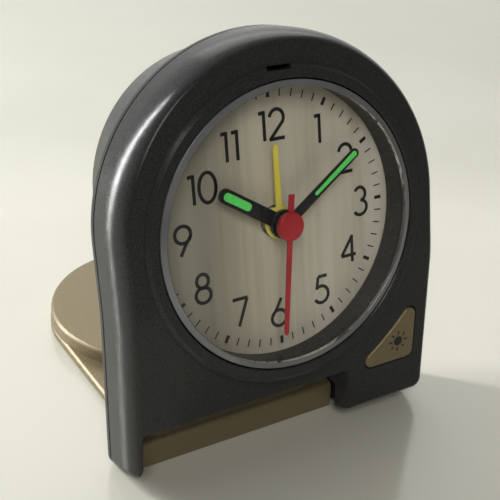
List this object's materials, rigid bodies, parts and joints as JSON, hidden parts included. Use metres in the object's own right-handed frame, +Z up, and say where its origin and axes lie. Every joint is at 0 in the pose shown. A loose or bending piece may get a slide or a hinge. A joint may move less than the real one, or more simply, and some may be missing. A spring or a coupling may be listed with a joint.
{
  "type": "alarm clock",
  "caption": "Folding travel alarm clock: a bent grey arch case with a round dial under a clear lens, propped on its hinged champagne cover.",
  "frame": {"origin": "on the table, under the flat stand cover, 12 mm behind its hinge axis and midway across the case", "axes": "+Z up; the dial faces -Y and leans back 11.8 degrees; +X is towards 3 o'clock"},
  "size_m": [0.0732, 0.0906, 0.086],
  "materials": {
    "case_grey": "satin, metallic fleck",
    "champagne": "satin, metallic fleck",
    "dial_gold": "satin, vertical pearl grain",
    "wall_grey": "gloss",
    "clear_lens": "clear, polished",
    "hand_black": "satin black",
    "lume_green": "matt, luminous",
    "hand_yellow": "matt",
    "hand_red": "satin",
    "movement_ivory": "moulded",
    "steel": "bright",
    "brass": "bright",
    "copper_wire": "enamelled winding",
    "board_green": "solder mask",
    "battery_wrap": "printed sleeve",
    "knob_black": "moulded, fluted"
  },
  "bodies": {
    "case": {"front_shell": "case_grey", "back_shell": "case_grey", "case_screw_1": "steel", "case_screw_2": "steel", "case_screw_3": "steel", "case_screw_4": "steel", "lens": "clear_lens", "chapter_ring": "wall_grey", "dial": "dial_gold", "movement_housing": "movement_ivory", "movement_front_plate": "movement_ivory", "stator": "steel", "coil": "copper_wire", "circuit_board": "board_green", "buzzer": "brass", "lamp": "clear_lens", "lamp_holder": "movement_ivory", "battery": "battery_wrap", "battery_plus_contact": "steel", "battery_minus_spring": "steel", "snooze_contact": "steel", "hinge_pin_left": "steel", "hinge_pin_right": "steel"},
    "cover": {"stand_cover": "champagne"},
    "snooze": {"snooze_button": "champagne"},
    "seconds": {"second_hand": "hand_red", "seconds_wheel": "movement_ivory"},
    "third": {"third_wheel": "movement_ivory"},
    "intermediate": {"intermediate_wheel": "movement_ivory"},
    "rotor_body": {"rotor": "steel"},
    "minutes": {"minute_hand": "hand_black", "minute_hand_lume": "lume_green", "minute_wheel": "movement_ivory"},
    "motion": {"motion_wheel": "movement_ivory", "time_knob": "knob_black"},
    "hours": {"hour_hand": "hand_black", "hour_hand_lume": "lume_green", "hour_wheel": "movement_ivory"},
    "alarm": {"alarm_hand": "hand_yellow", "alarm_wheel": "movement_ivory"},
    "alarm_setting": {"alarm_arbor": "movement_ivory", "alarm_knob": "knob_black"},
    "alarm_slider": {"alarm_switch": "knob_black"},
    "door": {"battery_door": "case_grey"}
  },
  "joints": [
    {"name": "cover_hinge", "type": "hinge", "parent": "case", "child": "cover", "pos_m": [0, -0.012, 0.0032], "axis": [1, 0, 0], "range_deg": [-200, 0]},
    {"name": "snooze_press", "type": "slide", "parent": "case", "child": "snooze", "axis": [0, 0.9789, -0.2045], "range_m": [0, 0.0012], "stiffness_N_per_m": 800},
    {"name": "seconds_spin", "type": "hinge", "parent": "case", "child": "seconds", "pos_m": [0, -0.00711, 0.04758], "axis": [0, 0.9789, -0.2045], "continuous": true},
    {"name": "third_spin", "type": "hinge", "parent": "case", "child": "third", "pos_m": [-0.00814, -0.00615, 0.05218], "axis": [0, 0.9789, -0.2045], "continuous": true},
    {"name": "intermediate_spin", "type": "hinge", "parent": "case", "child": "intermediate", "pos_m": [0.0049, -0.00537, 0.05588], "axis": [0, 0.9789, -0.2045], "continuous": true},
    {"name": "rotor_spin", "type": "hinge", "parent": "case", "child": "rotor_body", "pos_m": [0.01279, -0.00478, 0.0587], "axis": [0, 0.9789, -0.2045], "continuous": true},
    {"name": "minutes_spin", "type": "hinge", "parent": "case", "child": "minutes", "pos_m": [0, -0.00711, 0.04758], "axis": [0, 0.9789, -0.2045], "continuous": true},
    {"name": "motion_spin", "type": "hinge", "parent": "case", "child": "motion", "pos_m": [0, -0.00936, 0.03681], "axis": [0, 0.9789, -0.2045], "continuous": true},
    {"name": "hours_spin", "type": "hinge", "parent": "case", "child": "hours", "pos_m": [0, -0.00711, 0.04758], "axis": [0, 0.9789, -0.2045], "continuous": true},
    {"name": "alarm_spin", "type": "hinge", "parent": "case", "child": "alarm", "pos_m": [0, -0.00711, 0.04758], "axis": [0, 0.9789, -0.2045], "continuous": true},
    {"name": "alarm_setting_spin", "type": "hinge", "parent": "case", "child": "alarm_setting", "pos_m": [0.00921, -0.00779, 0.0443], "axis": [0, 0.9789, -0.2045], "continuous": true},
    {"name": "alarm_switch_slide", "type": "slide", "parent": "case", "child": "alarm_slider", "axis": [1, 0, 0], "range_m": [0, 0.004]},
    {"name": "battery_door_pull", "type": "slide", "parent": "case", "child": "door", "axis": [0, 0.9789, -0.2045], "range_m": [0, 0.008]}
  ],
  "couplings": [
    {"joint": "third_spin", "follows": "seconds_spin", "ratio": -0.13333},
    {"joint": "intermediate_spin", "follows": "seconds_spin", "ratio": -6},
    {"joint": "rotor_spin", "follows": "seconds_spin", "ratio": 30},
    {"joint": "motion_spin", "follows": "minutes_spin", "ratio": -0.33333},
    {"joint": "hours_spin", "follows": "minutes_spin", "ratio": 0.083333},
    {"joint": "alarm_setting_spin", "follows": "alarm_spin", "ratio": -5.125}
  ]
}
